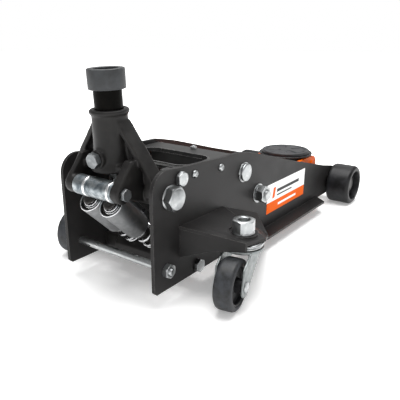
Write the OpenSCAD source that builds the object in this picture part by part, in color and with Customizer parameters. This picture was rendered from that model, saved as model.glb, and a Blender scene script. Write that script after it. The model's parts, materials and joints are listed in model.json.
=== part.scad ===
// Hydraulic trolley jack with two pumps side by side, a handle yoke, rear casters and front wheels.
// The drawing datum is the rear edge of the side plates on the floor; every node is then moved so that
// the origin is at the middle of the bottom of the whole jack. +X is the saddle end, +Y the left side.

/* [Side plates] */
// Distance over the outer faces of the two side plates
frame_w = 164.4; // [160:0.2:170]
// Thickness of a side plate
plate_t = 5; // [4:0.5:5]
// Height of the plates' bottom edge above the floor
plate_low = 20; // [18:1:22]
// Height of the plates at the rear
plate_high = 177; // [174:1:180]
// Width of the outward flange along the bottom edge
flange_w = 25; // [20:1:28]

/* [Handle] */
// Position of the handle pivot ahead of the plates' rear edge
pivot_x = 33; // [32:0.5:34]
// Height of the handle pivot
pivot_z = 141.5; // [140:0.5:143]
// Rearward lean of the handle at rest, degrees
handle_lean = 2.9; // [2:0.1:4]
// Diameter of the handle tube
handle_d = 35; // [33:0.5:36]
// Diameter of the coupling sleeve
sleeve_d = 46; // [44:0.5:48]
// Height of the top of the coupling sleeve
sleeve_top = 291; // [285:1:300]
// Lever length from the handle pivot back to the roller axis
lever_x = 45; // [44:0.5:46]
// Height of the roller axis above the handle pivot
lever_z = 8.3; // [8:0.1:8.6]
// Diameter of the lever roller
roller_d = 26; // [25:0.5:26]

/* [Pumps] */
// Slope of the pump axes below the horizontal, degrees
pump_slope = 43.8; // [43:0.1:45]
// Distance of each pump axis from the centre plane
pump_y = 18; // [17.9:0.1:18.1]
// Outer diameter of a pump cup
cup_d = 35; // [33:0.2:35]
// Length of a pump cup
cup_len = 63; // [60:1:65]

/* [Lift arm] */
// Position of the lift arm pivot
arm_x = 204; // [203:0.5:205]
// Height of the lift arm pivot
arm_z = 136; // [135:0.5:137]
// Position of the saddle pivot
nose_x = 528; // [526:1:530]
// Height of the saddle pivot
nose_z = 74; // [73:0.5:75]
// Distance over the outer faces of the arm's cheeks
arm_w = 100; // [98:0.5:102]

/* [Saddle] */
// Position of the saddle's centre
saddle_x = 506; // [505:0.5:507]
// Height of the saddle's top face
saddle_top = 105.5; // [104:0.5:107]
// Diameter of the saddle
saddle_d = 107; // [104:1:107]

/* [Wheels] */
// Position of the front axle
front_x = 559; // [558:1:560]
// Diameter of a front wheel
front_d = 77.6; // [76:0.2:78]
// Width of a front wheel
front_w = 46; // [44:1:46]
// Position of the caster stem
stem_x = 101; // [100:0.5:102]
// Distance of the caster stem from the centre plane
stem_y = 145.5; // [145:0.5:146]
// Distance that the caster wheel trails behind its stem
trail = 38; // [36:0.5:39]
// Rest turn of both casters about their stems, degrees
caster_turn = 11; // [0:1:12]
// Diameter of a caster wheel
caster_d = 68; // [66:1:68]
// Width of a caster wheel
caster_w = 25; // [24:1:28]

/* [Hidden] */
$fn = 64;

// Running clearance on a radius, and the gap that keeps neighbouring moving faces apart
run = 0.05;
gap = 0.5;
half_w = frame_w / 2;
inner_w = half_w - plate_t;

// Radii of the bolts, screws, shafts and pins; their holes add a clearance to these
bolt_r = 5;
screw_r = 3;
swing_bolt_r = 8;
cross_r = 8;
arm_shaft_r = 12;
axle_r = 9;
stem_r = 7;
caster_axle_r = 4.5;
lever_pin_r = 6;
arm_pin_r = 7;
nose_pin_r = 8;
link_pin_r = 4.5;
saddle_pin_r = 8;
loose = 0.2;

// Width across the flats of the smaller bolts' hexagons
bolt_flats = 17;

// Lever roller and pump geometry
roller_x = pivot_x - lever_x;
roller_z = pivot_z + lever_z;
lug_r = 12.5;
// The lever lugs are cast unevenly: Y faces of the right lug, then the left one
lug_right = [-49.3, -36.8];
lug_left = [36, 43];
side_play = 0.3;
roller_y = [lug_right[1] + side_play, 29.5];
pump_dx = cos(pump_slope);
pump_dz = -sin(pump_slope);
rim_x = -5;
rim_z = 129.5;
plunger_r = 6;
barrel_r = 9;

// Whole jack's rear and front ends set the place of the origin
rear_end = roller_x - lug_r;
front_end = front_x + front_d / 2;
origin_x = (rear_end + front_end) / 2;

// Hydraulic unit
ram_z = 93;
cyl_r = 30;
cyl_x0 = 106;
cyl_x1 = 160;
ram_r = 12;
lever_r = 46;
lever_back = 30;
pin_x = arm_x - lever_r * sin(lever_back);
pin_z = arm_z - lever_r * cos(lever_back);

// Parallel links: offset of each link pivot from the arm's pivots
link_dx = 10;
link_dz = -24;
link_ax = arm_x + link_dx;
link_az = arm_z + link_dz;
link_bx = nose_x + link_dx;
link_bz = nose_z + link_dz;
link_in = 25.5;
link_out = 33.5;

// Cross shaft ahead of the arm pivot
cross_x = 249;
cross_z = 92;

// Rear tie rod
tie_x = 23;
tie_z = 48;

// Caster heights
race_top = 82;
shelf_top = 90;
wheel_x = stem_x - trail;
wheel_z = caster_d / 2;

module placed() {
    translate([-origin_x, 0, 0]) children();
}

// Right-hand parts are drawn at negative Y; the left-hand ones are their mirror image.
module side(s) {
    if (s < 0) children();
    else mirror([0, 1, 0]) children();
}

module both_sides() {
    side(-1) children();
    side(1) children();
}

// Cylinder along Y between two Y values
module bar_y(x, z, r, y0, y1) {
    translate([x, y1, z]) rotate([90, 0, 0]) cylinder(r = r, h = y1 - y0);
}

// Cylinder along X between two X values
module bar_x(y, z, r, x0, x1) {
    translate([x0, y, z]) rotate([0, 90, 0]) cylinder(r = r, h = x1 - x0);
}

// Hexagon along Y between two Y values, given across its flats
module hex_y(x, z, flats, y0, y1) {
    translate([x, y1, z]) rotate([90, 0, 0]) rotate(30) cylinder(d = flats / cos(30), h = y1 - y0, $fn = 6);
}

// An X-Z outline made into a plate between two Y values
module plate_y(y0, y1) {
    translate([0, y1, 0]) rotate([90, 0, 0]) linear_extrude(y1 - y0) children();
}

// Points of an arc in a plane
function arc(cx, cz, r, a0, a1, n) = [for (i = [0:n])
    let (a = a0 + (a1 - a0) * i / n) [cx + r * cos(a), cz + r * sin(a)]];

// Thin flat panel through points on its top face
module panel(points, t) {
    hull() for (p = points) translate([p[0] - 0.5, p[1] - 0.5, p[2] - t]) cube([1, 1, t]);
}

// ---- Frame ----

rear_corner_r = 27;
nose_r = 26;
flange_x0 = 226;
flange_x1 = 490;
flange_t = 4;

module plate_outline() {
    polygon(concat(
        [[4, plate_low], [0, plate_low + 4]],
        arc(rear_corner_r, plate_high - rear_corner_r, rear_corner_r, 180, 90, 10),
        [[58, 174], [104, 172], [144, 169.5], [184, 168.5], [191, 168.5], [213, 164], [243, 157]],
        [[283, 145.5], [357, 124], [443, 101], [519, 80.6]],
        arc(front_x - 2, plate_low + nose_r, nose_r, 80, -90, 14)));
}

frame_bolt_at = [[51.6, 161], [88.5, 30]];
screw_at = [[82, 160], [142, 156]];

// Relief slot behind the caster bracket's rear edge
slot_x = 48;
slot_z = 97.6;

module side_plate() {
    color([0.16, 0.16, 0.17]) difference() {
        union() {
            plate_y(-half_w, -inner_w) plate_outline();
            translate([0, 0, plate_low]) linear_extrude(flange_t)
                polygon([[flange_x0, -inner_w - 1], [flange_x0 + 17, -half_w - flange_w],
                    [flange_x1 - 22, -half_w - flange_w], [flange_x1, -inner_w - 1]]);
        }
        bar_y(pivot_x, pivot_z, swing_bolt_r + loose, -half_w - 1, 0);
        bar_y(arm_x, arm_z, arm_shaft_r + run, -half_w - 1, 0);
        bar_y(cross_x, cross_z, cross_r + loose, -half_w - 1, 0);
        bar_y(tie_x, tie_z, bolt_r + loose, -half_w - 1, 0);
        bar_y(front_x, front_d / 2, axle_r + loose / 2, -half_w - 1, 0);
        for (p = frame_bolt_at) bar_y(p[0], p[1], bolt_r + loose, -half_w - 1, 0);
        for (p = screw_at) bar_y(p[0], p[1], screw_r + loose / 2, -half_w - 1, 0);
        translate([slot_x, -half_w - 1, slot_z]) cube([4.4, plate_t + 2, 2.8]);
    }
}

// Shelf corners of the caster bracket, on its top face
shelf_a = [50, -half_w - 0.5, 99];
shelf_b = [76, -165, 88];
shelf_c = [110, -173, 85];
shelf_d = [150, -half_w - 0.5, 97];
shelf_e = [243, -107, 28.3];
shelf_f = [246, -half_w - 0.5, 60];
sheet_t = 4;
skirt_low = 56;

// Lower edge of the rear skirt: Y and height. The left caster stands further in, under a higher skirt.
skirt_line = [[-86, 56.7], [-122, 69.8], [-170, 77]];
skirt_rise_left = 2.2;

// Boss under the shelf that the stem passes through, and the room around the turning race
boss_r = 19;
race_room = 29;

module caster_bracket(rise) {
    color([0.16, 0.16, 0.17]) difference() {
        union() {
            panel([shelf_a, shelf_b, shelf_c], sheet_t);
            panel([shelf_a, shelf_c, shelf_d], sheet_t);
            panel([shelf_d, shelf_c, shelf_e], sheet_t);
            panel([shelf_d, shelf_e, shelf_f], sheet_t);
            hull() {
                translate([shelf_a[0], -half_w - 1, skirt_low]) cube([12, 1, shelf_a[2] - skirt_low]);
                translate([shelf_b[0] - 1, shelf_b[1], shelf_b[2] - 12]) cube([4, 1, 12]);
            }
            translate([stem_x, -stem_y, race_top]) cylinder(r = boss_r, h = shelf_top - race_top);
        }
        translate([stem_x, -stem_y, 0]) cylinder(r = stem_r + loose / 2, h = 150);
        translate([stem_x, -stem_y, 0]) cylinder(r = race_room, h = race_top);
        translate([stem_x, -stem_y, shelf_top]) cylinder(r = boss_r, h = 30);
        translate([40, 0, 0]) rotate([90, 0, 90]) linear_extrude(50)
            polygon(concat([[-86, 0]], [for (p = skirt_line) p + [0, rise]], [[-170, 0]]));
        translate([0, -half_w, 0]) cube([400, 40, 200]);
    }
}

cover_x0 = 66;
cover_x1 = 196;
cover_z = 162.5;
cover_bolt_x = 189;

// Notch in the cover's rear edge that the handle yoke swings in
notch_l = 15;
notch_half = 38;

module top_cover() {
    color([0.2, 0.2, 0.21]) difference() {
        union() {
            translate([cover_x0, -inner_w, cover_z - sheet_t])
                cube([cover_x1 - cover_x0, 2 * inner_w, sheet_t]);
            both_sides() translate([cover_x0, -inner_w, cover_z - 18])
                cube([cover_x1 - cover_x0 - 30, sheet_t, 16]);
            translate([opening_x0, 0, cover_z - 1]) linear_extrude(lip_up + 1) opening_outline(lip_w);
            translate([opening_x0 + opening_l + 0.4, -opening_half, cover_z - wall_deep - 2])
                cube([3, 2 * opening_half, wall_deep]);
        }
        translate([opening_x0, 0, cover_z - 5]) linear_extrude(12) opening_outline();
        translate([cover_bolt_x, 0, cover_z - 10]) cylinder(r = screw_r + loose / 2, h = 20);
        for (p = screw_at) bar_y(p[0], p[1], screw_r + loose / 2, -half_w, half_w);
        translate([cover_x0 - 1, -notch_half, cover_z - 5]) cube([notch_l + 1, 2 * notch_half, 6]);
    }
}

// Opening over the filler plug, and its raised rim
opening_x0 = 93;
opening_l = 64;
opening_r = 21;
opening_half = 59;
lip_w = 2.4;
lip_up = 1.8;
wall_deep = 26;

// Rounded rectangle open to the frame's inside, grown all round for its raised rim
module opening_outline(grow = 0) {
    long = opening_l + 2 * grow;
    half = opening_half + grow;
    r = opening_r + grow;
    translate([-grow, 0]) difference() {
        translate([0, -half]) square([long, 2 * half]);
        for (cx = [0, 1], cy = [0, 1]) mirror([0, cy]) translate([cx * long, 0]) mirror([cx, 0])
            difference() {
                translate([-1, half - r]) square([r + 1, r + 1]);
                translate([r, half - r]) circle(r);
            }
    }
}

module cover_screws() {
    color("silver") both_sides() for (p = screw_at) {
        bar_y(p[0], p[1], screw_r, -half_w - 1, -inner_w + sheet_t);
        translate([p[0], -half_w, p[1]]) rotate([90, 0, 0]) intersection() {
            cylinder(r = 5.4, h = 4);
            translate([0, 0, -3.4]) sphere(r = 6.8);
        }
    }
    color("silver") translate([cover_bolt_x, 0, 0]) {
        translate([0, 0, cover_z - 9]) cylinder(r = screw_r, h = 10);
        translate([0, 0, cover_z]) cylinder(r = 4.6, h = 4, $fn = 6);
        translate([0, 0, cover_z + 4]) cylinder(r = 2.2, h = 2);
    }
}

module tie_rod() {
    color("silver") {
        bar_y(tie_x, tie_z, bolt_r + 0.3, -inner_w, inner_w);
        bar_y(tie_x, tie_z, bolt_r, -half_w - 11, half_w + 11);
    }
}

module tie_rod_nuts() {
    color("silver") both_sides() difference() {
        hex_y(tie_x, tie_z, bolt_flats, -half_w - 8, -half_w);
        bar_y(tie_x, tie_z, bolt_r, -half_w - 9, 0);
    }
}

module frame_bolts() {
    color("silver") both_sides() for (p = frame_bolt_at) {
        hex_y(p[0], p[1], bolt_flats, -half_w - 6.5, -half_w);
        bar_y(p[0], p[1], bolt_r, -half_w - 1, -inner_w + 5);
    }
}

// Stub bolts that the handle yoke swings on
module handle_bolts() {
    color("silver") both_sides() {
        bar_y(pivot_x, pivot_z, 13.4, -half_w - 1, -half_w);
        hex_y(pivot_x, pivot_z, 28, -half_w - 12, -half_w - 1);
        bar_y(pivot_x, pivot_z, swing_bolt_r, -half_w - 1, -54);
    }
    color("silver") {
        bar_y(pivot_x, pivot_z, 13, half_w + 11, half_w + 13.5);
        hex_y(pivot_x, pivot_z, 27, half_w + 13, half_w + 21);
        bar_y(pivot_x, pivot_z, swing_bolt_r, half_w + 20, half_w + 28);
    }
}

module handle_spacers() {
    color("silver") both_sides() difference() {
        bar_y(pivot_x, pivot_z, 12.5, -inner_w, -boss_y1 - gap);
        bar_y(pivot_x, pivot_z, swing_bolt_r + run, -inner_w - 1, -boss_y1 + 4);
    }
}

// Middle of the sloping seat that the pump springs stand on
seat_x = 70;
seat_z = 57;

// Casting that holds the pumps, the release valve and the ram cylinder
module pump_block() {
    seat_up = 44;
    seat_down = 20;
    back_x = seat_x - seat_down * 0.69;
    top_x = seat_x + seat_up * 0.69;
    top_z = seat_z + seat_up * 0.72;
    low_z = plate_low + 4;
    half = 44;
    color([0.13, 0.13, 0.14]) difference() {
        union() {
            plate_y(-half, half) polygon([[back_x, low_z], [back_x, seat_z - seat_down * 0.72],
                [top_x, top_z], [cyl_x0, top_z + 4], [cyl_x0, low_z]]);
            both_sides() translate([seat_x - 2, -inner_w, low_z]) cube([36, 36, 22]);
            bar_x(0, ram_z, cyl_r + 2, cyl_x0 - 12, cyl_x0);
        }
        for (s = [-1, 1]) pump_axis(s) translate([0, 0, spring_end - 0.1])
            cylinder(r = barrel_r + 0.1, h = 30);
        both_sides() bar_y(frame_bolt_at[1][0], frame_bolt_at[1][1], bolt_r + run, -half_w, -inner_w + 6);
        release_axis() translate([0, 0, 80]) cylinder(r = spindle_r + run, h = spindle_len - 79);
    }
}

// Along a pump axis: origin at the cup's rim, +Z down the axis towards the block
module pump_axis(s) {
    translate([rim_x, s * pump_y, rim_z]) rotate([0, 90 + pump_slope, 0]) children();
}

// Distance from the rim down the axis to the block's seat
spring_end = (seat_x - rim_x) * pump_dx + (seat_z - rim_z) * pump_dz;

// Height of the plunger's button above the rim, just under the lever roller
roller_clear = 0.9;
tip_up = (rim_x - roller_x) * pump_dx + (rim_z - roller_z) * pump_dz - roller_d / 2 - roller_clear;

module pump_barrels() {
    color("dimgray") for (s = [-1, 1]) pump_axis(s) difference() {
        translate([0, 0, cup_len - 25]) cylinder(r = barrel_r, h = spring_end + 24 - cup_len + 25);
        cylinder(r = plunger_r + run, h = spring_end + 10);
    }
}

// Inside of a cup, and the depth of the floor that the plunger's washer sits on
cup_in = cup_d - 4;
cup_floor = 6;

module pump_cup(s) {
    color([0.72, 0.73, 0.74]) pump_axis(s) difference() {
        cylinder(d = cup_d, h = cup_len);
        translate([0, 0, -1]) cylinder(d = cup_in, h = cup_floor + 1);
        translate([0, 0, cup_floor + 4]) cylinder(d = cup_in, h = cup_len);
        cylinder(r = plunger_r, h = 20);
    }
}

module pump_plunger(s) {
    color([0.3, 0.3, 0.32]) pump_axis(s) {
        translate([0, 0, cup_floor - 3]) cylinder(d = cup_in, h = 3);
        cylinder(r = 12, h = 3.5);
        translate([0, 0, -tip_up + 2]) cylinder(r = plunger_r, h = 48 + tip_up);
        translate([0, 0, -tip_up]) cylinder(r = 9, h = 3);
    }
}

// Closed coil swept along a helix about the pump axis
spring_turns = 7.5;
spring_r = 12.4;
spring_wire = 1.5;
spring_steps = 18;
spring_sides = 6;
spring_top = 11;

function coil_point(i, k) = let (
    turns = i / spring_steps,
    a = 360 * turns,
    b = 360 * k / spring_sides,
    r = spring_r + spring_wire * cos(b),
    rise = (spring_end - spring_top - 2 * spring_wire) * turns / spring_turns)
    [r * cos(a), r * sin(a), spring_top + spring_wire + rise + spring_wire * sin(b)];

module pump_spring(s) {
    rings = floor(spring_turns * spring_steps);
    n = spring_sides;
    color([0.8, 0.8, 0.82]) pump_axis(s) polyhedron(
        points = [for (i = [0:rings], k = [0:n - 1]) coil_point(i, k)],
        faces = concat(
            [[for (k = [0:n - 1]) k]],
            [for (i = [0:rings - 1], k = [0:n - 1])
                [i * n + k, (i + 1) * n + k, (i + 1) * n + (k + 1) % n, i * n + (k + 1) % n]],
            [[for (k = [n - 1:-1:0]) rings * n + k]]));
}

module ram_cylinder() {
    color([0.13, 0.13, 0.14]) difference() {
        union() {
            bar_x(0, ram_z, cyl_r, cyl_x0, cyl_x1 - 8);
            bar_x(0, ram_z, cyl_r - 3, cyl_x1 - 9, cyl_x1);
        }
        bar_x(0, ram_z, ram_r + run, cyl_x0 + 6, cyl_x1 + 1);
        bar_x(0, ram_z, 18, cyl_x0 + 6, cyl_x1 - 12);
        translate([plug_x, 0, ram_z]) cylinder(r = plug_r + 0.1, h = 60);
    }
}

plug_x = 134;
plug_r = 4.9;

module filler_plug() {
    color([0.1, 0.1, 0.1]) translate([plug_x, 0, 0]) {
        translate([0, 0, ram_z + 22]) cylinder(r = plug_r, h = 10);
        translate([0, 0, ram_z + cyl_r]) cylinder(r = 8, h = 3);
    }
}

module arm_shaft() {
    color("silver") bar_y(arm_x, arm_z, arm_shaft_r, -half_w - 1, half_w + 1);
}

module arm_shaft_collars() {
    color("silver") both_sides() {
        difference() {
            bar_y(arm_x, arm_z, 15, -half_w - 1, -half_w);
            bar_y(arm_x, arm_z, arm_shaft_r, -half_w - 1, -half_w + 1);
        }
        bar_y(arm_x, arm_z, 13.5, -half_w - 6, -half_w - 1);
    }
}

module cross_shaft() {
    color("silver") bar_y(cross_x, cross_z, cross_r, -half_w - 21, half_w + 21);
}

module cross_shaft_nuts() {
    color("silver") both_sides() difference() {
        union() {
            bar_y(cross_x, cross_z, 15.5, -half_w - 1.5, -half_w);
            hex_y(cross_x, cross_z, 24.5, -half_w - 15, -half_w - 1.5);
        }
        bar_y(cross_x, cross_z, cross_r, -half_w - 20, -half_w + 1);
    }
}

// Outer end of the front wheels' bores, and the inner face of a front wheel
axle_end = 132.5;
hub_in = 86;

module front_axle() {
    color("silver") bar_y(front_x, front_d / 2, axle_r, -axle_end + 8, axle_end - 8);
}

module front_spreader() {
    color([0.13, 0.13, 0.14]) difference() {
        bar_y(front_x, front_d / 2, 14, -inner_w, inner_w);
        bar_y(front_x, front_d / 2, axle_r + run, -inner_w - 1, inner_w + 1);
    }
}

module axle_rings() {
    color("silver") both_sides() difference() {
        bar_y(front_x, front_d / 2, 13, -axle_end + 9.5, -axle_end + 11.5);
        bar_y(front_x, front_d / 2, axle_r, -axle_end, -axle_end + 15);
    }
}

// Ears that carry the rear ends of the parallel links
module link_anchors() {
    color([0.13, 0.13, 0.14]) both_sides() {
        plate_y(-link_in + gap, -link_in + 5.5) union() {
            polygon([[cyl_x1 + 0.5, ram_z + 4], [cyl_x1 + 0.5, ram_z + 15],
                [link_ax - 3, link_az + 6.5], [link_ax, link_az - 7.2]]);
            translate([link_ax, link_az]) circle(7.4);
        }
        bar_y(link_ax, link_az, link_pin_r, -link_out - 1, -link_in + 3);
        bar_y(link_ax, link_az, 7, -link_out - 3, -link_out - gap);
    }
    color([0.13, 0.13, 0.14]) difference() {
        bar_x(0, ram_z, 26.5, cyl_x1, cyl_x1 + 4);
        bar_x(0, ram_z, 17, cyl_x1 - 1, cyl_x1 + 5);
    }
}

label_x0 = 280;
label_x1 = 422;
label_low = 46;
label_high = 96;

module side_labels() {
    color("white") both_sides() plate_y(-half_w - 0.4, -half_w)
        translate([label_x0, label_low]) square([label_x1 - label_x0, label_high - label_low]);
}

// ---- Casters ----

stem_low = 62;

module caster_stems() {
    color("silver") both_sides() translate([stem_x, -stem_y, 0]) {
        translate([0, 0, stem_low + 3]) cylinder(r = stem_r, h = shelf_top + 11 - stem_low);
        translate([0, 0, stem_low]) cylinder(r = 10, h = 4);
    }
}

module caster_nuts() {
    color("silver") both_sides() translate([stem_x, -stem_y, 0]) difference() {
        translate([0, 0, shelf_top]) cylinder(d = 27 / cos(30), h = 18, $fn = 6);
        cylinder(r = stem_r, h = 200);
    }
}

// Turns a right-hand caster's moving parts about its stem; the left ones are mirrored first
module swivelled(s) {
    translate([stem_x, s * stem_y, 0]) rotate(caster_turn) translate([-stem_x, -s * stem_y, 0])
        side(s) children();
}

module caster_races() {
    color("silver") both_sides() translate([stem_x, -stem_y, 0]) difference() {
        union() {
            translate([0, 0, race_top - 4]) cylinder(r = 28.3, h = 4);
            translate([0, 0, race_top - 8]) cylinder(r = 26.5, h = 4.5);
        }
        cylinder(r = stem_r + loose / 2, h = 200);
    }
}

fork_in = 16.5;
fork_out = 19.5;
fork_top = race_top - 8.5;
hub_r = caster_d / 2 - 7;

module caster_fork() {
    color([0.72, 0.74, 0.74]) difference() {
        union() {
            translate([stem_x, -stem_y, fork_top - 4]) cylinder(r = 27.5, h = 4);
            translate([stem_x - 18, -stem_y - fork_out, fork_top - 4]) cube([32, 2 * fork_out, 4]);
            for (y = [-stem_y - fork_out, -stem_y + fork_in]) plate_y(y, y + fork_out - fork_in)
                union() {
                    polygon([[wheel_x - 6, wheel_z + 24], [stem_x - 18, fork_top], [stem_x + 16, fork_top],
                        [stem_x + 14, fork_top - 14], [wheel_x + 13, wheel_z - 6], [wheel_x - 11, wheel_z]]);
                    translate([wheel_x + 1, wheel_z - 2]) circle(12.5);
                }
        }
        translate([stem_x, -stem_y, 0]) cylinder(r = stem_r + run, h = 100);
        bar_y(wheel_x, wheel_z, caster_axle_r + run, -stem_y - 30, -stem_y + 30);
    }
}

module caster_axle() {
    color("silver") {
        bar_y(wheel_x, wheel_z, caster_axle_r, -stem_y - fork_out - 1, -stem_y + fork_out + 1);
        bar_y(wheel_x, wheel_z, 7, -stem_y - fork_out - 3, -stem_y - fork_out);
        bar_y(wheel_x, wheel_z, 7, -stem_y + fork_out, -stem_y + fork_out + 3);
    }
}

module caster_hub() {
    color([0.1, 0.1, 0.11]) difference() {
        union() {
            bar_y(wheel_x, wheel_z, hub_r, -stem_y - 5, -stem_y + 5);
            bar_y(wheel_x, wheel_z, 9, -stem_y - fork_in + 0.6, -stem_y + fork_in - 0.6);
            difference() {
                bar_y(wheel_x, wheel_z, hub_r, -stem_y - caster_w / 2 + 1, -stem_y + caster_w / 2 - 1);
                bar_y(wheel_x, wheel_z, hub_r - 3, -stem_y - caster_w, -stem_y + caster_w);
            }
        }
        bar_y(wheel_x, wheel_z, caster_axle_r + run, -stem_y - 30, -stem_y + 30);
    }
}

module caster_tyre() {
    r = caster_d / 2;
    h = caster_w / 2;
    color([0.22, 0.23, 0.25]) translate([wheel_x, -stem_y, wheel_z]) rotate([90, 0, 0]) rotate_extrude()
        polygon(concat(
            [[hub_r, -h + 0.5], [r - 5, -h]],
            arc(r - 4, -h + 4, 4, -90, 0, 5),
            arc(r - 4, h - 4, 4, 0, 90, 5),
            [[r - 5, h], [hub_r, h - 0.5]]));
}

// ---- Front wheels ----

module front_wheel() {
    r = front_d / 2;
    face = hub_in + front_w;
    color([0.14, 0.14, 0.15]) translate([front_x, 0, r]) rotate([90, 0, 0])
        rotate_extrude() polygon(concat(
            [[axle_r + run, hub_in], [r - 3, hub_in]],
            arc(r - 2, hub_in + 2, 2, -90, 0, 4),
            arc(r - 3, face - 3, 3, 0, 90, 5),
            [[r - 10, face], [r - 11, face - 12], [17, face - 14], [axle_r + run, face - 14]]));
}

// ---- Handle yoke ----

socket_x = pivot_x - 10.4;
socket_low = 168;
socket_top = 246;
socket_bore = handle_d / 2 + run;

// Frame of the leaning handle axis: origin level with the pivot, +Z up the handle
module on_handle() {
    translate([socket_x, 0, pivot_z]) rotate([0, -handle_lean, 0]) children();
}

leg_t = 21.5;
boss_y0 = 57;
boss_y1 = 73.5;
foot_z = socket_low - pivot_z;
ring_z = socket_top - pivot_z - 5.6;
bolt_up = 44;

// Outline of one leg in the plane across the jack, on the right side
module leg_outline() {
    polygon([[-15, 88], [-22, 89], [-30, 77.5], [-46, 56.5], [-62.5, 34], [-70, 23.5], [-boss_y1 + 0.5, 14],
        [-boss_y1 + 0.5, 0], [-boss_y0, 0], [-boss_y0, 29.5], [-40, 52], [-24, 72.8], [-15, 84]]);
}

module web_outline() {
    polygon([[-15, 76], [-22, 82], [-64, 28], [-59, 16], [-46, 14], [-40, 27], [-15, 27]]);
}

module lug_outline() {
    union() {
        translate([roller_x, roller_z]) circle(lug_r);
        translate([pivot_x, pivot_z]) circle(15);
        polygon([[roller_x - 8.4, roller_z + 9], [-17.3, 163.5], [-3.4, 179.5], [2, 187],
            [socket_x + 16, 187], [pivot_x + 14, pivot_z + 4], [pivot_x + 2, pivot_z - 14.6],
            [roller_x + 8, roller_z - 9.4]]);
    }
}

module handle_yoke() {
    color([0.15, 0.15, 0.16]) difference() {
        union() {
            on_handle() {
                rotate_extrude() polygon(concat([[0, foot_z], [29, foot_z], [28.4, 31], [25.6, 39],
                    [23.8, 50], [22.9, 64], [22.3, ring_z - 4]],
                    arc(21.6, ring_z, 3.5, -70, 75, 8), [[0, ring_z + 3]]));
                for (s = [-1, 1]) side(s) {
                    translate([-8.5, 0, 0]) rotate([90, 0, 90]) linear_extrude(leg_t) leg_outline();
                    rotate([90, 0, 90]) linear_extrude(8) web_outline();
                }
                translate([-18, lug_right[0] + 1, foot_z + 0.5])
                    cube([32, lug_left[1] - lug_right[0] - 2, 10]);
                translate([-29, 0, bolt_up]) rotate([0, 90, 0]) cylinder(r = 11.5, h = 26);
            }
            both_sides() bar_y(pivot_x, pivot_z, 15.5, -boss_y1, -boss_y0 + 1);
            bar_y(pivot_x, pivot_z, 13, -boss_y0 - 1, lug_right[0] + 2);
            bar_y(pivot_x, pivot_z, 13, lug_left[1] - 2, boss_y0 + 1);
            plate_y(lug_right[0], lug_right[1]) lug_outline();
            plate_y(lug_left[0], lug_left[1]) lug_outline();
            bar_y(roller_x, roller_z, 12, roller_y[1] + side_play, lug_left[0] + 1);
        }
        on_handle() {
            translate([0, 0, 30]) cylinder(r = socket_bore, h = 100);
            cylinder(r = 12, h = 60);
            translate([-60, 0, bolt_up]) rotate([0, 90, 0]) cylinder(r = bolt_r + run, h = 60);
        }
        both_sides() bar_y(pivot_x, pivot_z, swing_bolt_r + run, -boss_y1 - 1, -52);
        bar_y(roller_x, roller_z, lever_pin_r + run, -60, 60);
    }
}

module lever_pin() {
    color("silver") {
        bar_y(roller_x, roller_z, lever_pin_r, lug_right[0] - 1, lug_left[1] + 1);
        hex_y(roller_x, roller_z, 14, lug_right[0] - 5, lug_right[0]);
        hex_y(roller_x, roller_z, 14, lug_left[1], lug_left[1] + 5);
    }
}

module socket_bolt() {
    color("silver") on_handle() translate([0, 0, bolt_up]) rotate([0, 90, 0]) {
        translate([0, 0, -37]) rotate(12) cylinder(d = 17.5 / cos(30), h = 8, $fn = 6);
        translate([0, 0, -30]) cylinder(r = bolt_r, h = 30 - groove_r - 0.4);
    }
}

module lever_roller() {
    mid = (roller_y[0] + roller_y[1]) / 2;
    collar_up = 0.6;
    color("silver") difference() {
        union() {
            bar_y(roller_x, roller_z, roller_d / 2, roller_y[0], roller_y[1]);
            bar_y(roller_x, roller_z, roller_d / 2 + collar_up, mid + 10, mid + 15.5);
            bar_y(roller_x, roller_z, roller_d / 2 + collar_up, mid - 30.5, mid - 25.5);
        }
        bar_y(roller_x, roller_z, lever_pin_r + run, -60, 60);
    }
}

// Lower end of the handle with its driver for the release valve
tube_low = socket_low - pivot_z + 4;
groove_r = handle_d / 2 - 1.3;
groove_w = 11;
sleeve_low = 267;

module handle_tube() {
    color([0.1, 0.1, 0.1]) on_handle() difference() {
        translate([0, 0, tube_low]) cylinder(d = handle_d, h = sleeve_top - pivot_z - tube_low - 20);
        translate([0, 0, tube_low + 6]) cylinder(d = handle_d - 5, h = 200);
        translate([0, 0, tube_low - 1]) cylinder(r = 8, h = 10);
        translate([0, 0, bolt_up - groove_w / 2]) difference() {
            cylinder(r = handle_d, h = groove_w);
            translate([0, 0, -1]) cylinder(r = groove_r, h = groove_w + 2);
        }
    }
}

module handle_sleeve() {
    color([0.2, 0.22, 0.24]) on_handle() difference() {
        translate([0, 0, sleeve_low - pivot_z]) cylinder(d = sleeve_d, h = sleeve_top - sleeve_low);
        translate([0, 0, 200 - pivot_z]) cylinder(d = handle_d, h = sleeve_top - 220);
        translate([0, 0, 200 - pivot_z]) cylinder(d = handle_d - 5, h = 200);
    }
}

driver_low = 10;

module release_driver() {
    color("silver") on_handle() difference() {
        translate([0, 0, driver_low]) cylinder(r = 8, h = tube_low + 5.5 - driver_low);
        translate([-10, -3.5, driver_low - 1]) cube([20, 7, 8]);
    }
}

// Release valve spindle: origin under the handle's foot, +Z down into the block
module release_axis() {
    translate([socket_x + 3, 0, pivot_z - 3]) rotate([0, 90 + pump_slope, 0]) children();
}

spindle_len = 96;
spindle_r = 5;

module release_spindle() {
    color("silver") release_axis() {
        translate([0, 0, 9]) cylinder(r = spindle_r, h = spindle_len - 9);
        translate([0, 0, 3]) cylinder(r = 7.5, h = 8);
        translate([-3, -6, -3]) cube([6, 12, 8]);
    }
}

// ---- Lift arm, ram, saddle ----

cheek_out = arm_w / 2;
cheek_in = cheek_out - 6;
nose_end_r = 20;

// Bend in the arm's top plate, and the plate's front end
kink_x = nose_x - 180;
kink_z = 104;
plate_end_x = nose_x - 110;

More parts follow.
